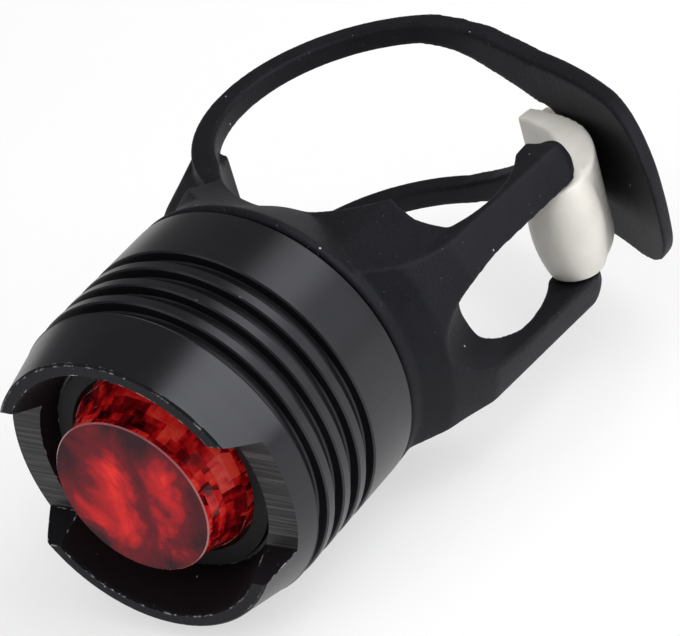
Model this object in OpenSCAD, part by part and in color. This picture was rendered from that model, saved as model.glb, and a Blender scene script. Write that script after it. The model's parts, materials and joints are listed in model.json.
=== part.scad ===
// Rear bicycle light with a turned aluminium body, a push lens and a rubber saddle mount.
// Millimetres. +Z is up along the seat post, the post axis is the origin, the lens faces -Y.

/* [Seat post and saddle] */
// Radius of the seat post that the saddle fits
post_r = 13.6; // [12.5:0.1:15.5]
// Half height of the rubber saddle along the post
saddle_half = 10.4; // [8:0.1:13]
// Reach of the saddle round the post on the strap side, in degrees
saddle_left = 70; // [60:1:80]
// Reach of the saddle round the post on the hook side, in degrees
saddle_right = 43; // [40:1:55]
// Rubber between the post and the bottom of the battery cup
saddle_web = 1.75; // [1:0.05:3]

/* [Battery cup] */
// Radius of a coin cell
cell_r = 10; // [8:0.1:12]
// Thickness of a coin cell
cell_t = 3.2; // [1.6:0.1:5]
// Thickness of the insulating sleeve round the cells
sleeve_t = 0.35; // [0.2:0.05:0.8]
// Wall of the cup beside the cells
cup_wall = 0.85; // [0.6:0.05:1.5]
// Length of the spigot that the head screws on
spigot_len = 6; // [5.5:0.1:6.2]

/* [Head] */
// Outer radius of the body
body_r = 15.5; // [14:0.1:18]
// Length of the plain band behind the fins
band_len = 6.5; // [6.3:0.1:8]
// Number of cooling grooves
groove_n = 4; // [2:1:5]
// Width of a groove
groove_w = 1.45; // [0.8:0.05:1.8]
// Width of a ridge between grooves
ridge_w = 1.15; // [0.8:0.05:2]
// Depth of a groove
groove_d = 1.1; // [0.5:0.05:1.3]
// Length of the tapered nose in front of the fins
nose_len = 5.85; // [4.5:0.05:9]
// How much the nose narrows towards the rim
rim_taper = 1.4; // [0.4:0.1:2]
// Wall of the rim at its front
rim_wall = 1.35; // [0.8:0.05:2.2]
// Depth of the recess round the lens
recess_depth = 4.9; // [3:0.1:6]
// Depth of the two rim notches
notch_depth = 3.4; // [1:0.1:4.5]
// Half width of a notch at its floor
notch_half = 5.8; // [3:0.1:8]
// Extra half width of a notch at the rim
notch_flare = 2; // [0:0.1:3]

/* [Lens button] */
// Radius of the flat front of the lens
lens_front_r = 7.9; // [6:0.1:8.5]
// Radius of the lens where it passes the head
lens_r = 9; // [8.7:0.05:9.2]
// Width of the black ring round the lens
bezel_w = 1.7; // [1:0.05:2]
// Thickness of the black ring round the lens
bezel_t = 0.5; // [0.3:0.05:0.6]
// Wall of the head that holds the lens flange
front_wall = 0.7; // [0.5:0.05:0.9]
// Width of the lens flange inside the head
flange_w = 2.05; // [1.2:0.05:2.4]
// Number of facets round the lens
facet_n = 16; // [10:1:24]
// Travel of the lens when it is pressed
press = 0.6; // [0.3:0.05:0.7]

/* [Light module] */
// Side of the light emitter
led_size = 5; // [3.5:0.1:5.2]
// Height of the light emitter without its dome
led_h = 0.9; // [0.6:0.05:1.2]
// Radius of the dome on the light emitter
dome_r = 1.9; // [1.2:0.1:2.2]
// Inner radius of the reflector at the board
reflector_r = 3.7; // [3.6:0.05:4.2]
// Wall of the reflector at its front
reflector_wall = 0.6; // [0.4:0.05:1]
// Radius of the pressed centre of the front battery contact
contact_r = 2.4; // [1.8:0.1:3]
// Radius of a board screw
screw_r = 0.7; // [0.5:0.05:0.9]
// Radius of a board screw head
screw_head_r = 1.3; // [1:0.05:1.5]

/* [Strap] */
// Inner radius of the strap loop as it hangs free
loop_r = 14.9; // [14.5:0.1:17]
// Thickness of the strap
strap_t = 2.4; // [1.8:0.1:2.8]
// Height of each of the two strap rails along the post
rail_h = 2.2; // [1.6:0.1:3]
// Half width of the pull tab
tab_half = 7.3; // [6:0.1:9]
// Length of the pull tab along its curve
tab_len = 28; // [26:0.5:32]
// Bend radius of the pull tab
tab_bend = 47.6; // [44:0.2:60]
// Thickness of the pull tab at its end
tab_tip_t = 1.3; // [1:0.05:1.8]
// Angle of the first bend of the strap, round the loop
bend_a = 185; // [175:1:195]
// Angle of the second bend of the strap, round the loop
bend_b = 118; // [110:1:130]

/* [Yoke and hook] */
// Distance of the hook pin to the right of the post axis
pin_x = 18; // [17.6:0.1:19]
// Distance of the hook pin behind the post axis
pin_y = 3; // [2.4:0.1:4]
// Radius of the hook pin
pin_r = 0.9; // [0.7:0.05:1.1]
// Inner half gap between the yoke arms
arm_in = 5.1; // [4.8:0.1:5.6]
// Outer half height of the yoke arms
arm_out = 8.7; // [8.4:0.1:10]
// Radius of the hook barrel at its middle
barrel_r = 3.5; // [3:0.1:3.6]
// Thickness of the hook tongue
tongue_t = 1.8; // [1.2:0.1:2.2]
// Half width of the tongue at the barrel
tongue_half = 4.6; // [4:0.1:4.7]
// Half width of the tongue at its tip
tip_half = 3.4; // [2.6:0.1:4]

/* [Clearances] */
// Gap between pieces that are fixed to each other
seat = 0.05; // [0.03:0.01:0.1]
// Gap between pieces that turn or slide on each other
run = 0.35; // [0.3:0.05:0.5]
// Radial clearance of the hook on its pin
pin_fit = 0.05; // [0.02:0.01:0.1]

/* [Hidden] */
$fn = 96;
eps = 0.01;
big = 80;
// axial stations, measured from the post axis towards the lens
cup_back = post_r + saddle_web;
cup_floor = cup_back + 0.85;
contact_t = 0.3;
stack_back = cup_floor + seat + contact_t + seat;
stack_front = stack_back + 2 * cell_t + seat;
rubber_front = stack_front - 1.35;
spigot_front = rubber_front + spigot_len;
head_back = rubber_front + 0.12;
fins_back = head_back + band_len;
fin_pitch = groove_w + ridge_w;
nose_back = fins_back + groove_n * fin_pitch - ridge_w;
rim_front = nose_back + nose_len;
recess_floor = rim_front - recess_depth;
wall_back = recess_floor - bezel_t - front_wall;
// radial sizes
bore_cells = cell_r + seat + sleeve_t + seat;
cup_back_r = bore_cells + cup_wall;
cup_front_r = body_r - 0.8;
rim_r = body_r - rim_taper;
rim_in = rim_r - rim_wall;
bezel_in = lens_r + run;
bezel_out = bezel_in + bezel_w;
floor_r = bezel_out + 0.25;
spigot_out = body_r - 1.6;
spigot_in = spigot_out - 1.9;
thread_r = spigot_out + run + 0.05;
cavity_r = body_r - 2.6;
rubber_r = body_r;
// module stations
carrier_r = cavity_r - run - 0.05;
carrier_back = stack_front + 0.9;
skirt_r = spigot_in - run;
ring_back = spigot_front + 0.55;
ring_t = 0.7;
shoulder = ring_back + ring_t + 0.1;
carrier_floor = shoulder + 0.6;
floor_t = 1.1;
board_back = carrier_floor + floor_t + seat;
board_t = 1;
board_front = board_back + board_t;
board_r = carrier_r - 1 - seat;
screw_at = board_r - 2.45;
flange_front = wall_back - 0.5;
flange_t = 0.9;
flange_r = lens_r + flange_w;
flange_back = flange_front - flange_t;
carrier_front = flange_back - press - 0.2;
skirt_len = 2.4;
skirt_back = flange_back - skirt_len;
skirt_in = 6.6;
skirt_out = 8.4;
lens_front = rim_front - 0.1;
lens_shoulder = recess_floor + 0.25;
lens_neck = lens_front - 0.65;
neck_r = lens_front_r - 0.25;
facet_mid = (lens_neck + lens_shoulder) / 2 + 0.2;
plunger_front = skirt_back - 0.2;
switch_front = plunger_front - press - 0.15;
switch_x = (skirt_in + skirt_out) / 2;
chip_t = skirt_back - press - run - board_front;
chip_x = switch_x + 1.5;
// strap loop
loop_c = [-1.4, 3.6];
loop_out = loop_r + strap_t;
loop_mid = loop_r + strap_t / 2;
tab_start = 78.3;
tab_dir = [cos(tab_start), sin(tab_start)];
tab_c = loop_c + (loop_out - tab_bend) * tab_dir;
tab_end = tab_start - tab_len / tab_bend * 180 / PI;
// inner side of the tab, on a larger circle so that the tab thins towards its end
tab_shift = (strap_t - tab_tip_t) / (1 - cos(tab_start - tab_end));
in_c = tab_c - tab_shift * tab_dir;
in_r = tab_bend - strap_t + tab_shift;
rail_in = saddle_half - rail_h;
knuckle_r = strap_t / 2;
knuckle_gap = 0.5;
pos_a = loop_c + loop_mid * [cos(bend_a), sin(bend_a)];
pos_b = loop_c + loop_mid * [cos(bend_b), sin(bend_b)];
root_from = 238;
// hook finger, running from the pin to the inner side of the strap
tongue_out = in_r - run;
tongue_in = tongue_out - tongue_t;
tip_angle = tab_start - 6.6;
lip_t = 1.6;
lip_angle = tip_angle - lip_t / in_r * 180 / PI;
lip_out = in_r + strap_t * 0.7;
finger_d = in_c + (tongue_out - tongue_t / 2) * [cos(tip_angle), sin(tip_angle)];
finger_c = finger_d + 8 * [sin(tip_angle), -cos(tip_angle)];
finger_b = [pin_x + 0.6, pin_y + 5.5];
finger_a = [pin_x, pin_y];
lip_half = 2.4;
window_r = 3.7;
window_x = 8.4;
barrel_half = arm_in - 0.2;
barrel_end_r = barrel_r - 0.9;
// inner curve of the yoke arms
arm_c_x = pin_x - 13;
arm_c_y = -5;
arm_c_r = 12.3;
eye_r = 1.9;
// round end of the window between the arms
window_y = -6.2;
scoop_turn = 21.8;

// turns a profile of radius and station round the lamp axis
module turned() {
    rotate([90, 0, 0]) rotate_extrude() children();
}

// round rod along the lamp axis between two stations
module rod(r, h0, h1) {
    rotate([90, 0, 0]) translate([0, 0, h0]) cylinder(r = r, h = h1 - h0);
}

// block of a plan drawing between two heights
module plan(z0, z1) {
    translate([0, 0, z0]) linear_extrude(z1 - z0) children();
}

// drawing of X and Z pushed through along Y
module through_y(y0, y1) {
    translate([0, y1, 0]) rotate([90, 0, 0]) linear_extrude(y1 - y0) children();
}

// plan sector of a ring between two angles
module sector(c, r0, r1, a0, a1) {
    steps = 12;
    translate(c) intersection() {
        difference() {
            circle(r1, $fn = 180);
            circle(r0, $fn = 180);
        }
        polygon(concat([[0, 0]],
            [for (i = [0 : steps]) let (a = a0 + (a1 - a0) * i / steps)
                1.3 * r1 * [cos(a), sin(a)]]));
    }
}

// both strap rails of a plan drawing
module rails() {
    plan(rail_in, saddle_half) children();
    plan(-saddle_half, -rail_in) children();
}

// plan of the saddle block, without the arms
module block_plan() {
    polygon([[-19, -rubber_front], [19, -rubber_front], [21, -11.4], [12.6, -11.4],
        [post_r * sin(saddle_right) + 1.1, -post_r * cos(saddle_right) - 0.5],
        [post_r * sin(saddle_right), -post_r * cos(saddle_right) + 0.2],
        [0, -post_r + 4],
        [-post_r * sin(saddle_left) + 0.6, -post_r * cos(saddle_left)],
        [-post_r * sin(saddle_left) - 0.9, -post_r * cos(saddle_left) + 0.6],
        [-20, -4]]);
}

// plan of the yoke, a curved arm with a rounded inner side
module arm_plan() {
    difference() {
        translate([12.6, -18]) square([10, pin_y + 18]);
        intersection() {
            translate([arm_c_x, arm_c_y]) circle(arm_c_r, $fn = 180);
            polygon([[0, -10], [12.6, -11.4], [16, -11], [30, -8], [30, 20], [0, 20]]);
        }
        translate([10, -1]) square([pin_x - eye_r - 0.3 - 10, 10]);
    }
}

// rounded end of one arm round the hook pin
module arm_eye() {
    translate([pin_x, pin_y, 0]) rotate_extrude() polygon([[0, arm_in - eps],
        [eye_r, arm_in - eps], [eye_r, arm_in + 1.6], [eye_r - 0.45, arm_out - 0.8],
        [eye_r - 0.8, arm_out - 0.25], [0, arm_out - 0.25]]);
}

// drawing of the window between the yoke arms, seen from the hook side
module yoke_window() {
    translate([window_y, 0]) circle(arm_in);
    translate([window_y, -arm_in]) square([30, 2 * arm_in]);
}

// round scoop that leads into the window from the front
module yoke_scoop() {
    translate([pin_x + 1.5, window_y - 3, 0]) rotate([0, 0, scoop_turn]) rotate([90, 0, 0])
        translate([0, 0, -3]) cylinder(r = arm_in, h = 20);
}

// rubber neck round the cup, sloping down to the saddle
module neck() {
    turned() polygon([[0, post_r - 0.4], [saddle_half, post_r - 0.4],
        [rubber_r, rubber_front - 0.9], [rubber_r, rubber_front - 0.4],
        [rubber_r - 0.4, rubber_front], [0, rubber_front]]);
}

// slope turned round the post, so that its edge follows the saddle
module post_slope() {
    lip = post_r + 0.2;
    rise = 0.67 * (40 - lip);
    rotate_extrude() polygon([[0, saddle_half], [lip, saddle_half], [40, saddle_half + rise],
        [40, -saddle_half - rise], [lip, -saddle_half], [0, -saddle_half]]);
}

// end drawing of the strap side, with flanks that leave the strap standing proud
module strap_flanks() {
    for (s = [0, 1]) mirror([0, s]) polygon([[1, 0], [1, 20], [-7.5, rubber_r],
        [-9.6, saddle_half], [-11.5, rail_in + 1.1], [-15.5, rail_in + 0.4],
        [-24, rail_in + 0.2], [-24, 0]]);
}

// end drawing of the hook side, which falls from the saddle to the arms
module hook_flanks() {
    for (s = [0, 1]) mirror([0, s]) polygon([[-1, 0], [-1, saddle_half], [9, saddle_half],
        [pin_x - 2, arm_out], [40, arm_out], [40, 0]]);
}

// rubber body of revolution, waisted behind the cup and flaring towards the post
module flared(r_waist, r_mid, r_back) {
    turned() polygon([[0, -12], [r_back + 0.7, -12], [r_back + 0.7, -4], [r_back, 3],
        [r_mid, post_r - 0.2], [r_waist, rubber_front - 3.7], [rubber_r - 0.25, rubber_front - 1],
        [0, rubber_front - 1]]);
}

// pocket for the battery cup
module cup_outline(g) {
    turned() polygon([[0, cup_back - g], [cup_back_r + g, cup_back - g],
        [cup_back_r + g, cup_back + 1], [cup_front_r + g, rubber_front - 1.2],
        [cup_front_r + g, rubber_front + eps], [0, rubber_front + eps]]);
}

module cradle() {
    color([0.13, 0.13, 0.14]) difference() {
        union() {
            // strap side of the block
            intersection() {
                flared(body_r - 0.7, body_r + 1, loop_out + 2.3);
                plan(-20, 20) intersection() {
                    block_plan();
                    translate([-30, -60]) square([30 + eps, 100]);
                }
                post_slope();
                through_y(-40, 20) strap_flanks();
            }
            // hook side of the block
            intersection() {
                flared(body_r + 2, pin_x + 1.4, pin_x + 2.4);
                plan(-20, 20) block_plan();
                translate([0, -60, -20]) cube([40, 100, 40]);
                through_y(-40, 20) hook_flanks();
            }
            neck();
            // yoke
            intersection() {
                flared(body_r + 2, pin_x + 1.4, pin_x + 2.4);
                plan(-arm_out, arm_out) arm_plan();
            }
            arm_eye();
            rotate([180, 0, 0]) translate([0, -2 * pin_y, 0]) arm_eye();
            // fixed start of the two strap rails
            rails() sector(loop_c, loop_r, loop_out, bend_a + 1, root_from);
        }
        cylinder(r = post_r, h = big, center = true);
        cup_outline(seat);
        translate([12.8, 0, 0]) rotate([90, 0, 90]) linear_extrude(20) yoke_window();
        yoke_scoop();
        // seat of the hook pin
        translate([pin_x, pin_y, -arm_out + 0.8]) cylinder(r = pin_r + seat, h = 2 * arm_out - 1.6);
        // free end of the rails at the first bend
        translate([pos_a[0], pos_a[1], 0])
            cylinder(r = knuckle_r + knuckle_gap, h = big, center = true);
    }
}

module hook_pin() {
    color([0.72, 0.73, 0.75]) translate([pin_x, pin_y, -arm_out + 0.85])
        cylinder(r = pin_r, h = 2 * arm_out - 1.7);
}

module base_cup() {
    color([0.2, 0.2, 0.22]) difference() {
        union() {
            cup_outline(0);
            rod(spigot_out, rubber_front, spigot_front);
        }
        rod(bore_cells, cup_floor, big);
        rod(spigot_in, stack_front + 0.1, big);
        // groove of the seal
        turned() translate([spigot_out - 0.95, rubber_front + 1]) square([2, 1.3]);
    }
}

module base_contact() {
    color([0.8, 0.66, 0.35]) union() {
        rod(cell_r - 2, cup_floor + seat, cup_floor + seat + contact_t);
    }
}

module coin_cell(h0) {
    difference() {
        turned() polygon([[0, h0], [cell_r - 1.6, h0], [cell_r - 1.6, h0 + 0.2],
            [cell_r - 0.5, h0 + 0.45], [cell_r, h0 + 0.8], [cell_r, h0 + cell_t - 0.2],
            [cell_r - 0.2, h0 + cell_t], [0, h0 + cell_t]]);
    }
}

module cell_rear() {
    color([0.78, 0.78, 0.8]) coin_cell(stack_back);
}

module cell_front() {
    color([0.78, 0.78, 0.8]) coin_cell(stack_back + cell_t + seat);
}

module cell_sleeve() {
    color([0.92, 0.9, 0.84]) difference() {
        rod(bore_cells - seat, cup_floor + seat, stack_front - 0.2);
        rod(cell_r + seat, 0, big);
    }
}

module body_seal() {
    color([0.1, 0.1, 0.1]) turned() translate([spigot_out - 0.4, rubber_front + 1.65])
        circle(0.5, $fn = 48);
}

module strap_mid() {
    color([0.13, 0.13, 0.14]) difference() {
        union() {
            rails() sector(loop_c, loop_r, loop_out, bend_b + 1, bend_a);
            rails() translate(pos_a) circle(knuckle_r);
        }
        translate([pos_b[0], pos_b[1], 0])
            cylinder(r = knuckle_r + knuckle_gap, h = big, center = true);
    }
}

// outline of strap and tab seen from behind, with a round end
module strap_outline() {
    end_x = tab_c[0] + tab_bend * cos(tab_end) - tab_half;
    polygon([[-16, saddle_half], [-4.5, saddle_half], [-1, saddle_half - 0.5],
        [3.5, tab_half + 0.8], [8.5, tab_half], [end_x, tab_half],
        [end_x, -tab_half], [8.5, -tab_half], [3.5, -tab_half - 0.8],
        [-1, -saddle_half + 0.5], [-4.5, -saddle_half], [-16, -saddle_half]]);
    translate([end_x, 0]) circle(tab_half);
}

// plan of the pull tab, thinner towards its end
module tab_plan() {
    steps = 8;
    intersection() {
        difference() {
            translate(tab_c) circle(tab_bend, $fn = 180);
            translate(in_c) circle(in_r, $fn = 180);
        }
        translate(tab_c) polygon(concat([[0, 0]],
            [for (i = [0 : steps]) let (a = tab_end - 2 + (tab_start - tab_end + 2) * i / steps)
                1.3 * tab_bend * [cos(a), sin(a)]]));
    }
}

// long window between the rails, narrowing towards the tab
module strap_window() {
    polygon([[-30, rail_in], [-5, rail_in], [-1.5, rail_in - 0.8], [2.5, rail_in - 2.4],
        [window_x, window_r], [window_x, -window_r], [2.5, -rail_in + 2.4],
        [-1.5, -rail_in + 0.8], [-5, -rail_in], [-30, -rail_in]]);
    translate([window_x, 0]) circle(window_r);
}

module strap_tail() {
    color([0.13, 0.13, 0.14]) difference() {
        intersection() {
            plan(-saddle_half, saddle_half) {
                sector(loop_c, loop_r, loop_out, tab_start - 0.2, bend_b);
                tab_plan();
                translate(pos_b) circle(knuckle_r);
            }
            through_y(-20, 40) strap_outline();
        }
        through_y(-20, 40) strap_window();
    }
}

// barrel of the hook as a turned egg form
module barrel() {
    translate([pin_x, pin_y, 0]) rotate_extrude() polygon(concat([[0, -barrel_half]],
        [for (i = [0 : 12]) let (t = -1 + i / 6)
            [barrel_end_r + (barrel_r - barrel_end_r) * (1 - t * t), t * barrel_half]],
        [[0, barrel_half]]));
}

// point and direction on the centre line of the finger
function finger_at(t) = pow(1 - t, 3) * finger_a + 3 * t * pow(1 - t, 2) * finger_b
    + 3 * t * t * (1 - t) * finger_c + t * t * t * finger_d;
function finger_side(t) = let (d = finger_at(t + 0.01) - finger_at(t - 0.01))
    [d[1], -d[0]] / norm(d);
function finger_half(t) = barrel_end_r + (tongue_t / 2 - barrel_end_r) * pow(t, 0.8);

// plan of the finger, tapering from the barrel to the tip
module finger_plan() {
    steps = 14;
    polygon(concat(
        [for (i = [0 : steps]) finger_at(i / steps)
            + finger_half(i / steps) * finger_side(i / steps)],
        [for (i = [steps : -1 : 0]) finger_at(i / steps)
            - finger_half(i / steps) * finger_side(i / steps)]));
}

// outline of the finger on its length and on the height
module tongue_drawing() {
    x_tip = finger_d[0] - 3;
    x_root = pin_x + 5;
    polygon([[x_tip, tip_half - 0.9], [x_tip + 3.6, tip_half], [pin_x - 2, tongue_half],
        [x_root, tongue_half], [x_root, -tongue_half], [pin_x - 2, -tongue_half],
        [x_tip + 3.6, -tip_half], [x_tip, -tip_half + 0.9]]);
}

module hook() {
    color([0.86, 0.84, 0.79]) difference() {
        union() {
            barrel();
            intersection() {
                plan(-tongue_half, tongue_half) finger_plan();
                through_y(-20, 40) tongue_drawing();
            }
            // lip that stands through the window of the strap
            plan(-lip_half, lip_half)
                sector(in_c, tongue_in + 0.3, lip_out, lip_angle, tip_angle);
        }
        translate([pin_x, pin_y, 0]) cylinder(r = pin_r + pin_fit, h = big, center = true);
    }
}

module module_carrier() {
    color([0.16, 0.16, 0.17]) difference() {
        union() {
            rod(carrier_r, shoulder, carrier_front);
            rod(skirt_r, carrier_back, shoulder + eps);
        }
        rod(carrier_r - 1, carrier_floor + floor_t, big);
        rod(skirt_r - 1, 0, carrier_floor);
        rod(3, 0, big);
        for (s = [-1, 1])
            rotate([90, 0, 0]) translate([0, s * screw_at, carrier_floor - 1])
                cylinder(r = screw_r + seat, h = 6, $fn = 32);
    }
}

module snap_ring() {
    color([0.6, 0.6, 0.62]) difference() {
        rod(cavity_r - seat, ring_back, ring_back + ring_t);
        rod(skirt_r + run, 0, big);
        // gap of the ring
        translate([-1.5, -big, -20]) cube([3, big, 20]);
    }
}

module circuit_board() {
    color([0.1, 0.35, 0.18]) difference() {
        rod(board_r, board_back, board_front);
        for (s = [-1, 1])
            rotate([90, 0, 0]) translate([0, s * screw_at, board_back - 1])
                cylinder(r = screw_r + seat, h = 4, $fn = 32);
    }
}

module led_emitter() {
    h0 = board_front + seat;
    color([0.95, 0.9, 0.7]) union() {
        translate([-led_size / 2, -h0 - led_h, -led_size / 2]) cube([led_size, led_h, led_size]);
        turned() intersection() {
            translate([0, h0 + led_h - 0.4]) circle(dome_r, $fn = 64);
            translate([0, h0 + led_h - 0.4]) square(dome_r + 1);
        }
    }
}

module reflector() {
    h0 = board_front + seat;
    h1 = flange_back - 0.2;
    color([0.85, 0.85, 0.87]) turned() polygon([[reflector_r, h0], [reflector_r + 0.9, h0],
        [reflector_r + 1.1, h0 + 1.2], [skirt_in - run - seat, h1],
        [skirt_in - run - seat - reflector_wall, h1], [reflector_r + 0.2, h0 + 1.4]]);
}

module switch_body() {
    h0 = board_front + seat;
    color([0.15, 0.15, 0.16]) difference() {
        translate([switch_x - 1.6, -switch_front, -1.6]) cube([3.2, switch_front - h0, 3.2]);
        rotate([90, 0, 0]) translate([switch_x, 0, switch_front - 1])
            cylinder(r = 0.95, h = 3, $fn = 48);
    }
}

module switch_plunger() {
    color([0.9, 0.5, 0.2]) rotate([90, 0, 0])
        translate([switch_x, 0, switch_front - 0.2])
            cylinder(r = 0.6, h = plunger_front - switch_front + 0.2, $fn = 48);
}

module driver_chip() {
    h0 = board_front + seat;
    color([0.08, 0.08, 0.09]) translate([-chip_x, -h0 - chip_t, -2]) union() {
        cube([3.2, chip_t, 4]);
        for (i = [0 : 2])
            translate([-0.6, chip_t - 0.3, 0.4 + 1.3 * i]) cube([4.4, 0.3, 0.5]);
    }
}

module front_contact() {
    h0 = stack_front + 0.1;
    h1 = carrier_floor - seat;
    color([0.8, 0.66, 0.35]) turned() polygon([[0, h0], [contact_r, h0],
        [contact_r + 0.3, h0 + 0.3], [contact_r + 2.2, h1 - 0.4], [contact_r + 3.2, h1 - 0.4],
        [contact_r + 3.2, h1], [contact_r + 1.9, h1], [contact_r - 0.05, h0 + 0.35],
        [0, h0 + 0.35]]);
}

module board_screws() {
    h0 = board_front + seat;
    color([0.65, 0.65, 0.67]) for (s = [-1, 1]) rotate([90, 0, 0]) translate([0, s * screw_at, 0])
        difference() {
            union() {
                translate([0, 0, h0]) cylinder(r = screw_head_r, h = 0.8, $fn = 48);
                translate([0, 0, carrier_floor + 0.2])
                    cylinder(r = screw_r, h = h0 - carrier_floor - 0.1, $fn = 32);
            }
            translate([-0.2, -0.77 * screw_head_r, h0 + 0.45]) cube([0.4, 1.54 * screw_head_r, 1]);
            translate([-0.77 * screw_head_r, -0.2, h0 + 0.45]) cube([1.54 * screw_head_r, 0.4, 1]);
        }
}

// outer line of the head with its fins
module head_profile() {
    edge = 0.15;
    difference() {
        polygon([[0, head_back], [body_r - 0.25, head_back], [body_r, head_back + 0.25],
            [body_r, nose_back], [body_r - 0.15, nose_back + 0.1], [rim_r, rim_front - 0.2],
            [rim_r - 0.2, rim_front], [0, rim_front]]);
        for (i = [0 : groove_n - 1]) translate([0, fins_back + i * fin_pitch])
            polygon([[body_r - groove_d, edge], [body_r - groove_d + edge, 0],
                [body_r - edge, 0], [body_r + eps, -edge], [body_r + 1, -edge],
                [body_r + 1, groove_w + edge], [body_r + eps, groove_w + edge],
                [body_r - edge, groove_w], [body_r - groove_d + edge, groove_w],
                [body_r - groove_d, groove_w - edge]]);
        // recess round the lens
        polygon([[0, recess_floor - bezel_t], [floor_r, recess_floor - bezel_t],
            [floor_r + 0.2, recess_floor + 0.2], [rim_in, rim_front - 0.3],
            [rim_in + 0.15, rim_front + eps], [0, rim_front + eps]]);
        // cavity and thread
        translate([0, head_back - eps]) square([thread_r, ring_back - 0.35 - head_back + eps]);
        translate([0, head_back]) square([cavity_r, wall_back - head_back]);
        translate([0, head_back]) square([bezel_in, 40]);
    }
}

module head_shell() {
    color([0.17, 0.17, 0.19]) difference() {
        turned() head_profile();
        // notches across the rim, open to both sides
        rotate([90, 0, 90]) translate([0, 0, -30]) linear_extrude(60)
            polygon([[-rim_front + notch_depth, notch_half],
                [-rim_front + 0.8, notch_half + notch_flare * 0.55],
                [-rim_front - 1, notch_half + notch_flare],
                [-rim_front - 1, -notch_half - notch_flare],
                [-rim_front + 0.8, -notch_half - notch_flare * 0.55],
                [-rim_front + notch_depth, -notch_half]]);
    }
}

module lens_bezel() {
    h0 = recess_floor - bezel_t + seat;
    color([0.1, 0.1, 0.11]) turned() polygon([[bezel_in, h0], [bezel_out, h0],
        [bezel_out - 0.15, recess_floor], [bezel_in + 0.1, recess_floor],
        [bezel_in, recess_floor - 0.1]]);
}

// turned blank of the lens, with its flange, skirt and hollow back
module lens_blank() {
    turned() polygon([[0, lens_front], [lens_front_r - 0.12, lens_front],
        [lens_front_r, lens_front - 0.12], [lens_front_r, lens_neck], [neck_r, lens_neck],
        [lens_r, lens_shoulder], [lens_r, flange_front], [flange_r, flange_front],
        [flange_r, flange_back], [skirt_out, flange_back], [skirt_out, skirt_back],
        [skirt_in, skirt_back], [skirt_in, flange_front + 0.6], [2.2, lens_front - 2.2],
        [0, lens_front - 2.2]]);
}

// ring of flat facets between two stations, each cut by a tilted slab
module facet_ring(h0, h1, turn, extra) {
    slope = atan((lens_r - neck_r) / (lens_neck - lens_shoulder));
    h = (h0 + h1) / 2;
    blank_r = lens_r - (h - lens_shoulder) * tan(slope);
    r = blank_r * cos(180 / facet_n) - 0.03;
    intersection() {
        for (i = [0 : facet_n - 1]) rotate([0, (i + turn) * 360 / facet_n, 0])
            translate([r, -h, 0]) rotate([0, 0, -slope - extra])
                translate([0, -4, -4]) cube([6, 8, 8]);
        rod(lens_r + 3, h0, h1);
    }
}

module lens() {
    color([0.8, 0.08, 0.06]) difference() {
        lens_blank();
        facet_ring(facet_mid, lens_neck - 0.05, 0, -3);
        facet_ring(lens_shoulder + 0.05, facet_mid, 0.5, 5);
    }
}

module lens_seal() {
    color([0.12, 0.12, 0.12]) difference() {
        rod(flange_r - 0.1, flange_front + seat, flange_front + 0.38);
        rod(lens_r + 0.1, 0, big);
    }
}

cradle();
hook_pin();
base_cup();
base_contact();
cell_rear();
cell_front();
cell_sleeve();
body_seal();
strap_mid();
strap_tail();
hook();
module_carrier();
snap_ring();
circuit_board();
led_emitter();
reflector();
switch_body();
switch_plunger();
driver_chip();
front_contact();
board_screws();
head_shell();
lens_bezel();
lens();
lens_seal();
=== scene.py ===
import json
import math

import bmesh
import bpy
from mathutils import Matrix, Vector

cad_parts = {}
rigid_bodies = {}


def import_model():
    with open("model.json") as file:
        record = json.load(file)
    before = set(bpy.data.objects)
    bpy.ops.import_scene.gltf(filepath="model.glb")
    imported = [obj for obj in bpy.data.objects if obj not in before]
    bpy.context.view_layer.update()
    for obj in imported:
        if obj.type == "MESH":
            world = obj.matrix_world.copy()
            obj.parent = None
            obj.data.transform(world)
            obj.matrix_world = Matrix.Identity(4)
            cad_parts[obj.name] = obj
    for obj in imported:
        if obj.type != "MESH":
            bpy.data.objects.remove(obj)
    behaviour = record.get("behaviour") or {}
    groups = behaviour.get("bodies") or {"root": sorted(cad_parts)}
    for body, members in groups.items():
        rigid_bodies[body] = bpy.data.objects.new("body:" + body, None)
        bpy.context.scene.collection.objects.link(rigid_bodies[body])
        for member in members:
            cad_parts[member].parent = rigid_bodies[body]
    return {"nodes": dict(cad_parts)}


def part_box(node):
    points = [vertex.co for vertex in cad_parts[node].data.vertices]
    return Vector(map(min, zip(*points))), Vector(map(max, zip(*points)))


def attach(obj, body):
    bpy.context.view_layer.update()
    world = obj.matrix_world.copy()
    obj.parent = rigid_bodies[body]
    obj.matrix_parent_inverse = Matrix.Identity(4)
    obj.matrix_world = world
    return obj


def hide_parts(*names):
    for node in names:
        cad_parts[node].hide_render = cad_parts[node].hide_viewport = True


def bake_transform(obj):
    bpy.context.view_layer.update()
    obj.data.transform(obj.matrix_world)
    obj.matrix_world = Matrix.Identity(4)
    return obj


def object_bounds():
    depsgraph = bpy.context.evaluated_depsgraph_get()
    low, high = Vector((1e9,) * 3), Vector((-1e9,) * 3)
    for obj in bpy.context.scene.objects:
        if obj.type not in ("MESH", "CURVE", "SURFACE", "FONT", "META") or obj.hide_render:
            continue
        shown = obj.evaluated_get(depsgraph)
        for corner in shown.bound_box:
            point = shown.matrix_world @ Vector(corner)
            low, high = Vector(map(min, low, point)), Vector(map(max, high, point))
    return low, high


# a clean scene before the frame comes in
for old in list(bpy.data.objects):
    bpy.data.objects.remove(old)

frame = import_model()
cad_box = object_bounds()
nodes = frame["nodes"]
MM = 0.001

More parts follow.
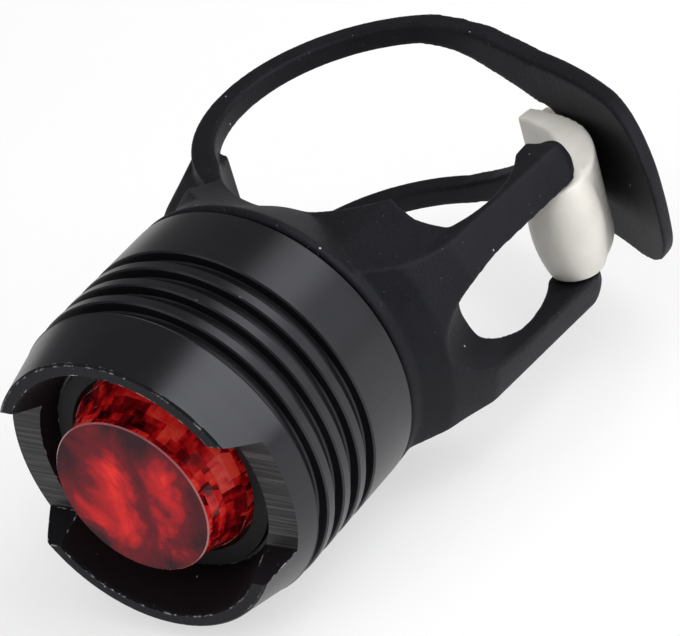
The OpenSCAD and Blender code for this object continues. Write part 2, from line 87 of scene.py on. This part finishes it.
# strap loop as in the solids, in millimetres and degrees
LOOP = Vector((-1.4, 3.6))
LOOP_IN = 14.9
LOOP_OUT = 17.3
LOOP_MID = 16.1
RAIL_LOW = 8.2
RAIL_HIGH = 10.4
RAIL_WIDTH = RAIL_HIGH - RAIL_LOW
BEND_A = 185
BEND_B = 118
BEND_FILL = 6

# inner face of the tab, and the zone round the loop that counts as strap
TAB_CENTRE = Vector((-8.87, -32.48))
TAB_INNER = 51.75
TAB_SLACK = 0.8
TAB_FROM = 4
ZONE_IN = 13.6
ZONE_OUT = 19
ZONE_RIGHT = 12
ZONE_END = 230

# angles at which the rubber skin is split
ROOT_END = 192
TAIL_END = 151

# widening of the tab's outer edge, and the line that its window's edge follows
SWELL = 1.1
SWELL_FROM = -1.5
SWELL_RUN = 5
WINDOW_EDGE = 6.8
WINDOW_SLOPE = -0.37

# notch floors and rim of the head, disc and edge of the lens
NOTCH_FROM = 9
NOTCH_HALF = 5.7
NOTCH_DEPTH = 3.4
RIM_DEPTH = 5.4
RIM_TILT = 0.6
INWARD = -3
EDGE_DEPTH = 0.13
SAME_LEVEL = 0.02
FLAT = 0.95


def loop_point(angle, radius=LOOP_MID):
    a = math.radians(angle)
    return (LOOP.x + radius * math.cos(a), LOOP.y + radius * math.sin(a))


def link_object(name, data):
    obj = bpy.data.objects.new(name, data)
    bpy.context.collection.objects.link(obj)
    return obj


# building blocks of the materials


def new_material(name):
    mat = bpy.data.materials.new(name)
    mat.use_nodes = True
    tree = mat.node_tree
    return mat, tree, tree.nodes["Principled BSDF"]


def put(node, **inputs):
    for key, value in inputs.items():
        node.inputs[key.replace("_", " ")].default_value = value


def add(tree, kind, **inputs):
    node = tree.nodes.new(kind)
    put(node, **inputs)
    return node


def texture(tree, kind, vector, **inputs):
    node = add(tree, kind, **inputs)
    tree.links.new(vector, node.inputs["Vector"])
    return node


def calc(tree, kind, first, second=0.0, third=0.0):
    # one sum, whose terms are sockets or numbers
    node = tree.nodes.new("ShaderNodeMath")
    node.operation = kind
    for socket, value in zip(node.inputs, (first, second, third)):
        if isinstance(value, (int, float)):
            socket.default_value = value
        else:
            tree.links.new(value, socket)
    return node.outputs["Value"]


def stops(tree, source, *steps):
    # colour ramp with any number of stops
    node = tree.nodes.new("ShaderNodeValToRGB")
    elements = node.color_ramp.elements
    while len(elements) < len(steps):
        elements.new(0.5)
    for element, (position, colour) in zip(elements, steps):
        element.position = position
        element.color = (*colour, 1)
    tree.links.new(source, node.inputs["Fac"])
    return node.outputs["Color"]


def ramp(tree, source, low, high, left=0.3, right=0.7):
    return stops(tree, source, (left, low), (right, high))


def span(tree, source, low, high, left=0.0, right=1.0):
    node = add(tree, "ShaderNodeMapRange", From_Min=left, From_Max=right, To_Min=low, To_Max=high)
    tree.links.new(source, node.inputs["Value"])
    return node.outputs["Result"]


def noise(tree, vector, scale, detail=4, rough=0.55):
    node = texture(tree, "ShaderNodeTexNoise", vector, Scale=scale, Detail=detail, Roughness=rough)
    return node.outputs["Fac"]


def bump(tree, shader, height, strength, distance, before=None):
    node = add(tree, "ShaderNodeBump", Strength=strength, Distance=distance)
    tree.links.new(height, node.inputs["Height"])
    if before is not None:
        tree.links.new(before.outputs["Normal"], node.inputs["Normal"])
    tree.links.new(node.outputs["Normal"], shader.inputs["Normal"])
    return node


def coords(tree):
    return tree.nodes.new("ShaderNodeTexCoord").outputs["Object"]


def stretched(tree, scale):
    return texture(tree, "ShaderNodeMapping", coords(tree), Scale=scale).outputs["Vector"]


def axes(tree, vector):
    split = texture(tree, "ShaderNodeSeparateXYZ", vector)
    return split.outputs["X"], split.outputs["Y"], split.outputs["Z"]


def joined(tree, x, y):
    node = tree.nodes.new("ShaderNodeCombineXYZ")
    tree.links.new(x, node.inputs["X"])
    tree.links.new(y, node.inputs["Y"])
    return node.outputs["Vector"]


def turned_vector(tree):
    # radius from the lamp axis and place along it, so that marks run round the body
    x, y, z = axes(tree, coords(tree))
    square = calc(tree, "MULTIPLY_ADD", z, z, calc(tree, "MULTIPLY", x, x))
    return joined(tree, calc(tree, "SQRT", square), y)


def specks(tree, scale, size, share):
    # sparse round dots, used as dust
    cells = texture(tree, "ShaderNodeTexVoronoi", coords(tree), Scale=scale)
    pick = tree.nodes.new("ShaderNodeSeparateColor")
    tree.links.new(cells.outputs["Color"], pick.inputs["Color"])
    near = calc(tree, "LESS_THAN", cells.outputs["Distance"], size)
    few = calc(tree, "LESS_THAN", pick.outputs["Red"], share)
    return calc(tree, "MULTIPLY", near, few)


def blend_colour(tree, amount, first, second):
    # the colour sockets of the node have no names of their own, so they go by number
    node = tree.nodes.new("ShaderNodeMix")
    node.data_type = "RGBA"
    tree.links.new(amount, node.inputs[0])
    tree.links.new(first, node.inputs[6])
    node.inputs[7].default_value = (*second, 1)
    return node.outputs[2]


def worn_edges(tree, colour, radius, left, right):
    # bare metal in broken lines where an edge has rubbed through
    soft = add(tree, "ShaderNodeBevel", Radius=radius)
    soft.samples = 6
    shape = tree.nodes.new("ShaderNodeNewGeometry")
    match = tree.nodes.new("ShaderNodeVectorMath")
    match.operation = "DOT_PRODUCT"
    tree.links.new(soft.outputs["Normal"], match.inputs[0])
    tree.links.new(shape.outputs["Normal"], match.inputs[1])
    edge = span(tree, match.outputs["Value"], 0, 1, left=0.985, right=0.93)
    marks = noise(tree, coords(tree), scale=1100, detail=5, rough=0.65)
    patch = span(tree, marks, 0, 1, left=left, right=right)
    return blend_colour(tree, calc(tree, "MULTIPLY", edge, patch), colour, (0.5, 0.5, 0.51))


def block_value(tree, count, height):
    # one random value for each block of staggered rows round the lamp axis
    x, y, z = axes(tree, coords(tree))
    row = calc(tree, "FLOOR", calc(tree, "DIVIDE", y, height))
    turn = calc(tree, "ARCTAN2", z, x)
    around = calc(tree, "MULTIPLY_ADD", turn, count / math.tau, calc(tree, "MULTIPLY", row, 0.5))
    place = joined(tree, calc(tree, "FLOOR", around), row)
    return texture(tree, "ShaderNodeTexWhiteNoise", place).outputs["Value"]


def facet_value(tree):
    # one random value for each flat face of the lens
    shape = tree.nodes.new("ShaderNodeNewGeometry")
    snap = tree.nodes.new("ShaderNodeVectorMath")
    snap.operation = "SNAP"
    snap.inputs[1].default_value = (0.05, 0.05, 0.05)
    tree.links.new(shape.outputs["True Normal"], snap.inputs[0])
    return texture(tree, "ShaderNodeTexWhiteNoise", snap.outputs["Vector"]).outputs["Value"]


# kinds of material


def make_rubber(name, low, high, grain, dust=0.0, worn=False):
    mat, tree, shader = new_material(name)
    where = coords(tree)
    cloud = noise(tree, where, scale=260, detail=5)
    fine = noise(tree, where, scale=grain, detail=3)
    both = calc(tree, "MULTIPLY_ADD", fine, 0.6, calc(tree, "MULTIPLY", cloud, 0.4))
    colour = ramp(tree, both, low, high)
    if dust > 0:
        grey_dots = specks(tree, scale=1300, size=0.07, share=dust)
        colour = blend_colour(tree, grey_dots, colour, (0.09, 0.09, 0.1))
        pale_dots = specks(tree, scale=430, size=0.045, share=dust)
        colour = blend_colour(tree, pale_dots, colour, (0.4, 0.4, 0.42))
    if worn:
        colour = worn_edges(tree, colour, radius=0.00022, left=0.52, right=0.6)
    tree.links.new(colour, shader.inputs["Base Color"])
    tree.links.new(span(tree, fine, 0.5, 0.7), shader.inputs["Roughness"])
    # highlights tinted blue: the blue of the lamps' light painted into the material
    put(shader, Specular_IOR_Level=0.26, Specular_Tint=(0.86, 0.88, 1.0, 1))
    soft = bump(tree, shader, cloud, strength=0.15, distance=0.0004)
    bump(tree, shader, fine, strength=0.5, distance=0.00008, before=soft)
    return mat


def make_turned(name, low, high, rough_low, rough_high):
    mat, tree, shader = new_material(name)
    lines = noise(tree, turned_vector(tree), scale=5200, detail=3, rough=0.6)
    colour = ramp(tree, noise(tree, coords(tree), scale=160), low, high)
    colour = worn_edges(tree, colour, radius=0.00015, left=0.67, right=0.78)
    tree.links.new(colour, shader.inputs["Base Color"])
    tree.links.new(span(tree, lines, rough_low, rough_high), shader.inputs["Roughness"])
    # highlights tinted blue: the blue of the lamps' light painted into the material
    put(shader, Specular_IOR_Level=0.55, Specular_Tint=(0.9, 0.91, 1.0, 1))
    put(shader, Anisotropic=0.55, Anisotropic_Rotation=0.25)
    ring = tree.nodes.new("ShaderNodeTangent")
    ring.direction_type = "RADIAL"
    ring.axis = "Y"
    tree.links.new(ring.outputs["Tangent"], shader.inputs["Tangent"])
    dust = noise(tree, coords(tree), scale=2600, detail=2)
    soft = bump(tree, shader, lines, strength=0.1, distance=0.00002)
    bump(tree, shader, dust, strength=0.05, distance=0.00003, before=soft)
    return mat


def make_milled(name, low, high):
    # cutter marks that run across the notch floors
    mat, tree, shader = new_material(name)
    lines = noise(tree, stretched(tree, (60, 200, 2600)), scale=1, detail=3, rough=0.65)
    colour = ramp(tree, lines, low, high, left=0.47, right=0.72)
    tree.links.new(colour, shader.inputs["Base Color"])
    put(shader, Roughness=0.42, Metallic=0.3)
    bump(tree, shader, lines, strength=0.6, distance=0.0001)
    return mat


def make_metal(name, low, high, rough):
    mat, tree, shader = new_material(name)
    lines = noise(tree, stretched(tree, (400, 400, 4000)), scale=1, detail=3)
    tree.links.new(ramp(tree, lines, low, high), shader.inputs["Base Color"])
    put(shader, Metallic=1)
    tree.links.new(span(tree, lines, rough - 0.06, rough + 0.08), shader.inputs["Roughness"])
    bump(tree, shader, lines, strength=0.1, distance=0.00002)
    return mat


def make_plastic(name, low, high, rough, depth=0.0, shine=0.5):
    mat, tree, shader = new_material(name)
    cloud = noise(tree, coords(tree), scale=240)
    fine = noise(tree, coords(tree), scale=1800, detail=2)
    tree.links.new(ramp(tree, cloud, low, high), shader.inputs["Base Color"])
    tree.links.new(span(tree, fine, rough - 0.06, rough + 0.06), shader.inputs["Roughness"])
    put(shader, Specular_IOR_Level=shine)
    if depth > 0:
        put(shader, Subsurface_Weight=0.35, Subsurface_Radius=(1.0, 0.85, 0.7))
        put(shader, Subsurface_Scale=depth)
    bump(tree, shader, fine, strength=0.08, distance=0.00004)
    return mat


def clear_red_painted_glow(tree, shader, colour, share):
    tree.links.new(colour, shader.inputs["Base Color"])
    put(shader, Roughness=0.05, IOR=1.49, Specular_IOR_Level=0.08, Transmission_Weight=share)
    # painted glow: the lens gives off a little light of its own colour, though the lamp is not lit
    tree.links.new(colour, shader.inputs["Emission Color"])
    put(shader, Emission_Strength=0.07)


def make_lens_face(name):
    # painted light on the disc: a bright red centre as if lit from the reflector behind, swirls of
    # painted reflection, and painted shade darker towards its rim
    mat, tree, shader = new_material(name)
    swirl = texture(
        tree, "ShaderNodeTexNoise", coords(tree), Scale=165, Detail=4, Roughness=0.6, Distortion=0.5
    )
    radius = axes(tree, turned_vector(tree))[0]
    square = calc(tree, "POWER", radius, 2)
    colour = stops(
        tree,
        calc(tree, "MULTIPLY_ADD", square, -3700, swirl.outputs["Fac"]),
        (0.2, (0.03, 0.002, 0.007)),
        (0.41, (0.17, 0.004, 0.011)),
        (0.55, (0.65, 0.012, 0.015)),
        (0.66, (1.0, 0.04, 0.022)),
    )
    clear_red_painted_glow(tree, shader, colour, share=0.12)
    return mat


def make_lens_facets(name):
    # painted light: dark and bright blocks with orange painted highlights, as a cut ring throws the
    # light about
    mat, tree, shader = new_material(name)
    level = calc(tree, "MULTIPLY", noise(tree, coords(tree), scale=620, detail=3), 0.7)
    blocks = block_value(tree, count=40, height=0.0016)
    level = calc(tree, "MULTIPLY_ADD", blocks, 0.24, level)
    level = calc(tree, "MULTIPLY_ADD", facet_value(tree), 0.32, level)
    colour = stops(
        tree,
        level,
        (0.42, (0.02, 0.0, 0.002)),
        (0.58, (0.24, 0.004, 0.007)),
        (0.69, (0.85, 0.015, 0.016)),
        (0.83, (1.0, 0.075, 0.05)),
    )
    clear_red_painted_glow(tree, shader, colour, share=0.35)
    return mat


def make_floor(name):
    # pale, and partly lit by itself where the camera, metal or clear plastic sees it
    mat, tree, shader = new_material(name)
    cloud = noise(tree, coords(tree), scale=12, detail=2)
    colour = ramp(tree, cloud, (0.9, 0.9, 0.9), (0.92, 0.92, 0.92))
    tree.links.new(colour, shader.inputs["Base Color"])
    put(shader, Roughness=0.8, Specular_IOR_Level=0.1)
    ray = tree.nodes.new("ShaderNodeLightPath")
    seen = calc(tree, "MAXIMUM", ray.outputs["Is Camera Ray"], ray.outputs["Is Glossy Ray"])
    seen = calc(tree, "MAXIMUM", seen, ray.outputs["Is Transmission Ray"])
    white = add(tree, "ShaderNodeEmission", Color=(1, 1, 1, 1), Strength=1)
    join = tree.nodes.new("ShaderNodeMixShader")
    tree.links.new(calc(tree, "MULTIPLY", seen, 0.6), join.inputs["Fac"])
    tree.links.new(shader.outputs["BSDF"], join.inputs[1])
    tree.links.new(white.outputs["Emission"], join.inputs[2])
    tree.links.new(join.outputs["Shader"], tree.nodes["Material Output"].inputs["Surface"])
    return mat


# finish of each node
rubber = make_rubber(
    "rubber", (0.002, 0.002, 0.0026), (0.009, 0.009, 0.0115), grain=3200, dust=0.45
)
seal = make_rubber("seal_rubber", (0.006, 0.006, 0.007), (0.012, 0.012, 0.013), grain=2600)
anodised = make_turned(
    "black_aluminium", (0.003, 0.003, 0.0036), (0.006, 0.006, 0.0075), 0.27, 0.38
)
rim_face = make_rubber(
    "rim_face", (0.002, 0.002, 0.0024), (0.005, 0.005, 0.006), grain=4200, dust=0.3, worn=True
)
milled = make_milled("milled_floor", (0.003, 0.003, 0.004), (0.07, 0.07, 0.074))
steel = make_metal("steel", (0.45, 0.45, 0.47), (0.62, 0.62, 0.64), rough=0.32)
can = make_metal("cell_steel", (0.6, 0.6, 0.61), (0.75, 0.75, 0.76), rough=0.25)
brass = make_metal("contact_brass", (0.6, 0.44, 0.2), (0.78, 0.6, 0.3), rough=0.3)
chrome = make_metal("reflector_chrome", (0.82, 0.82, 0.83), (0.92, 0.92, 0.93), rough=0.12)
sleeve = make_plastic("sleeve_plastic", (0.7, 0.68, 0.6), (0.8, 0.78, 0.7), rough=0.5)
black_plastic = make_plastic(
    "black_plastic", (0.004, 0.004, 0.005), (0.009, 0.009, 0.01), rough=0.6, shine=0.25
)
nylon = make_plastic(
    "white_nylon", (0.66, 0.635, 0.585), (0.76, 0.735, 0.69), rough=0.4, depth=0.0012
)
board = make_plastic("board_green", (0.03, 0.16, 0.07), (0.05, 0.22, 0.1), rough=0.4)
resin = make_plastic("led_plastic", (0.85, 0.74, 0.45), (0.95, 0.86, 0.6), rough=0.25)
orange = make_plastic("switch_orange", (0.7, 0.25, 0.06), (0.85, 0.35, 0.1), rough=0.35)
red_face = make_lens_face("lens_face")
red_facets = make_lens_facets("lens_facets")
# the lens edge is painted pale pink: a painted highlight where light runs along the edge
red_edge_painted_highlight = make_plastic("lens_edge_painted_highlight", (0.3, 0.07, 0.08), (0.48, 0.17, 0.17), rough=0.2)

FINISH = {
    "cradle": rubber,
    "hook_pin": steel,
    "base_cup": anodised,
    "base_contact": brass,
    "cell_rear": can,
    "cell_front": can,
    "cell_sleeve": sleeve,
    "body_seal": seal,
    "strap_mid": rubber,
    "strap_tail": rubber,
    "hook": nylon,
    "module_carrier": black_plastic,
    "snap_ring": steel,
    "circuit_board": board,
    "led_emitter": resin,
    "reflector": chrome,
    "switch_body": black_plastic,
    "switch_plunger": orange,
    "driver_chip": black_plastic,
    "front_contact": brass,
    "board_screws": steel,
    "head_shell": anodised,
    "lens_bezel": black_plastic,
    "lens": red_facets,
    "lens_seal": seal,
}
for name, finish in FINISH.items():
    data = nodes[name].data
    data.materials.clear()
    data.materials.append(finish)

# machined faces of the head
head = nodes["head_shell"]
head.data.materials.append(milled)
head.data.materials.append(rim_face)
rim_front = -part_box("head_shell")[0].y / MM
for face in head.data.polygons:
    c = face.center / MM
    n = face.normal
    at_floor = abs(-c.y - (rim_front - NOTCH_DEPTH)) < SAME_LEVEL and n.y < -FLAT
    if at_floor and abs(c.x) > NOTCH_FROM and abs(c.z) < NOTCH_HALF:
        face.material_index = 1
    elif -c.y > rim_front - RIM_DEPTH and (n.y < -RIM_TILT or c.x * n.x + c.z * n.z < INWARD):
        face.material_index = 2

# front disc of the lens, and a thin ring round it painted pale pink as a painted highlight
lens = nodes["lens"]
lens.data.materials.append(red_face)
lens.data.materials.append(red_edge_painted_highlight)
lens_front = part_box("lens")[0].y / MM
for face in lens.data.polygons:
    depth = face.center.y / MM - lens_front
    if depth < SAME_LEVEL and face.normal.y < -FLAT:
        face.material_index = 1
    elif depth < EDGE_DEPTH:
        face.material_index = 2


# rubber skin: the solids joined, filled at the bends and rounded


def rail_piece(bm, a0, a1, z0, z1):
    steps = 6
    rings = []
    for i in range(steps + 1):
        a = a0 + (a1 - a0) * i / steps
        ring = []
        for radius, z in ((LOOP_IN, z0), (LOOP_OUT, z0), (LOOP_OUT, z1), (LOOP_IN, z1)):
            x, y = loop_point(a, radius)
            ring.append(bm.verts.new((x * MM, y * MM, z * MM)))
        rings.append(ring)
    for one, two in zip(rings, rings[1:]):
        for k in range(4):
            bm.faces.new((one[k], one[(k + 1) % 4], two[(k + 1) % 4], two[k]))
    bm.faces.new(rings[0][::-1])
    bm.faces.new(rings[-1])


def rounded(name, bm, voxel, passes, share):
    bmesh.ops.recalc_face_normals(bm, faces=bm.faces)
    data = bpy.data.meshes.new(name + "_raw")
    bm.to_mesh(data)
    bm.free()
    raw = link_object(name + "_raw", data)
    remesh = raw.modifiers.new("remesh", "REMESH")
    remesh.mode = "VOXEL"
    remesh.voxel_size = voxel
    smooth = raw.modifiers.new("smooth", "SMOOTH")
    smooth.factor = 0.5
    smooth.iterations = passes
    fewer = raw.modifiers.new("fewer", "DECIMATE")
    fewer.ratio = share
    bpy.context.view_layer.update()
    graph = bpy.context.evaluated_depsgraph_get()
    result = bpy.data.meshes.new_from_object(raw.evaluated_get(graph))
    bpy.data.objects.remove(raw)
    bpy.data.meshes.remove(data)
    return result


def piece_of(name, source, keep, finish):
    # a share of a skin that keeps the normals of the whole, so that no seam shows
    bm = bmesh.new()
    bm.from_mesh(source)
    bm.normal_update()
    layer = bm.verts.layers.float_vector.new("whole_normal")
    for v in bm.verts:
        v[layer] = v.normal
    drop = [f for f in bm.faces if not keep(f.calc_center_median() / MM)]
    bmesh.ops.delete(bm, geom=drop, context="FACES")
    for f in bm.faces:
        f.smooth = True
    normals = [v[layer].copy() for v in bm.verts]
    bm.verts.layers.float_vector.remove(layer)
    data = bpy.data.meshes.new(name)
    bm.to_mesh(data)
    bm.free()
    data.normals_split_custom_set_from_vertices(normals)
    data.materials.append(finish)
    return link_object(name, data)


def on_strap(p):
    # angle round the strap loop, zero on the tab, none away from the strap
    x = p.x - LOOP.x
    y = p.y - LOOP.y
    past_tab = (Vector((p.x, p.y)) - TAB_CENTRE).length > TAB_INNER - TAB_SLACK
    if p.x > TAB_FROM and past_tab:
        return 0
    angle = math.degrees(math.atan2(y, x)) % 360
    near = ZONE_IN < math.hypot(x, y) < ZONE_OUT and p.x < ZONE_RIGHT and angle < ZONE_END
    return angle if near else None


def in_cradle(p):
    a = on_strap(p)
    return a is None or a > ROOT_END


def in_root(p):
    a = on_strap(p)
    return a is not None and TAIL_END < a <= ROOT_END


def in_tail(p):
    a = on_strap(p)
    return a is not None and a <= TAIL_END


bm = bmesh.new()
for name in ("cradle", "strap_mid", "strap_tail"):
    bm.from_mesh(nodes[name].data)
for side in (1, -1):
    low, high = sorted((side * RAIL_LOW, side * RAIL_HIGH))
    for bend in (BEND_A, BEND_B):
        rail_piece(bm, bend - BEND_FILL, bend + BEND_FILL, low, high)
skin = rounded("rubber", bm, voxel=0.00018, passes=22, share=0.5)

# the outer edge of strap and tab swells into one even curve, the window's edge stays
for v in skin.vertices:
    p = v.co / MM
    if not in_tail(p) or p.x < SWELL_FROM:
        continue
    rise = min((p.x - SWELL_FROM) / SWELL_RUN, 1)
    inner = max(WINDOW_EDGE + WINDOW_SLOPE * p.x, 0)
    outer = min(max(abs(p.z) - inner, 0) / RAIL_WIDTH, 1)
    v.co.z += math.copysign(SWELL * rise * rise * (3 - 2 * rise) * outer * MM, p.z)

cradle_skin = piece_of("saddle_skin", skin, in_cradle, rubber)
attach(cradle_skin, "mount_base")
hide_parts("cradle")

root_skin = piece_of("strap_root_skin", skin, in_root, rubber)
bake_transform(root_skin)
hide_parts("strap_mid")

tail_skin = piece_of("strap_tail_skin", skin, in_tail, rubber)
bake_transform(tail_skin)
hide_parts("strap_tail")

# moulded hook
bm = bmesh.new()
bm.from_mesh(nodes["hook"].data)
hook_form = rounded("hook", bm, voxel=0.00016, passes=18, share=0.5)
hook_skin = piece_of("hook_skin", hook_form, lambda p: True, nylon)
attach(hook_skin, "hook_body")
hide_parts("hook")

# camera at the photograph's viewing angle: its axes, its focal length and picture in
# pixels, the pixel at which the aim point falls, and its distance in millimetres
RIGHT = Vector((0.8079, 0.5298, -0.2559))
UP = Vector((-0.1155, 0.5688, 0.8135))
BACK = Vector((0.5764, -0.629, 0.521))
FOCAL = 3540.3
WIDTH = 680
HEIGHT = 636
AIM_RIGHT = 276.24
AIM_DOWN = 342.22
AIM = Vector((0, -19.8, 0))
DISTANCE = 320.1
SENSOR = 36
eye = AIM * MM + DISTANCE * MM * BACK
shift_right = RIGHT * ((WIDTH / 2 - AIM_RIGHT) / FOCAL)
shift_up = UP * ((AIM_DOWN - HEIGHT / 2) / FOCAL)
back = -(-BACK + shift_right + shift_up).normalized()
right = UP.cross(back).normalized()
up = back.cross(right)
camera_data = bpy.data.cameras.new("camera")
camera_data.sensor_fit = "HORIZONTAL"
camera_data.sensor_width = SENSOR
camera_data.lens = FOCAL * SENSOR / WIDTH
camera_data.clip_start = 0.01
camera_data.clip_end = 10
camera = link_object("camera", camera_data)
turn = Matrix((right, up, back)).transposed().to_4x4()
camera.matrix_world = Matrix.Translation(eye) @ turn
bpy.context.scene.camera = camera

# floor just below the part, in metres
FLOOR_HALF = 3.0
FLOOR_GAP = 0.0002
level = cad_box[0].z - FLOOR_GAP
corners = [(x * FLOOR_HALF, y * FLOOR_HALF, level) for x, y in ((-1, -1), (1, -1), (1, 1), (-1, 1))]
floor_data = bpy.data.meshes.new("floor")
floor_data.from_pydata(corners, [], [(0, 1, 2, 3)])
floor_data.materials.append(make_floor("floor"))
floor = link_object("floor", floor_data)


# soft studio light


def aimed(way):
    return Vector(way).to_track_quat("-Z", "Y").to_euler()


def area(name, place, target, size, power):
    data = bpy.data.lights.new(name, "AREA")
    data.shape = "RECTANGLE"
    data.size, data.size_y = size
    data.energy = power
    obj = link_object(name, data)
    obj.location = place
    obj.rotation_euler = aimed(Vector(target) - Vector(place))


area("right_box", (0.41, 0.1, 0.35), target=(0, -0.035, 0), size=(0.28, 0.72), power=2.3)
area("rear_box", (0.16, 0.34, 0.37), target=(0, -0.035, 0), size=(0.3, 0.2), power=0.4)
area("front_fill", (-0.25, -0.6, 0.3), target=(0, -0.03, 0), size=(0.3, 0.3), power=0.6)

sun_data = bpy.data.lights.new("sun", "SUN")
sun_data.energy = 1.4
sun_data.angle = math.radians(80)
sun = link_object("sun", sun_data)
sun.rotation_euler = aimed((-0.15, 0.25, -1))
sun.visible_glossy = False

world = bpy.data.worlds.new("world")
bpy.context.scene.world = world
world.use_nodes = True
put(world.node_tree.nodes["Background"], Color=(1, 1, 1, 1), Strength=0.2)

bpy.context.scene.view_settings.view_transform = "Standard"
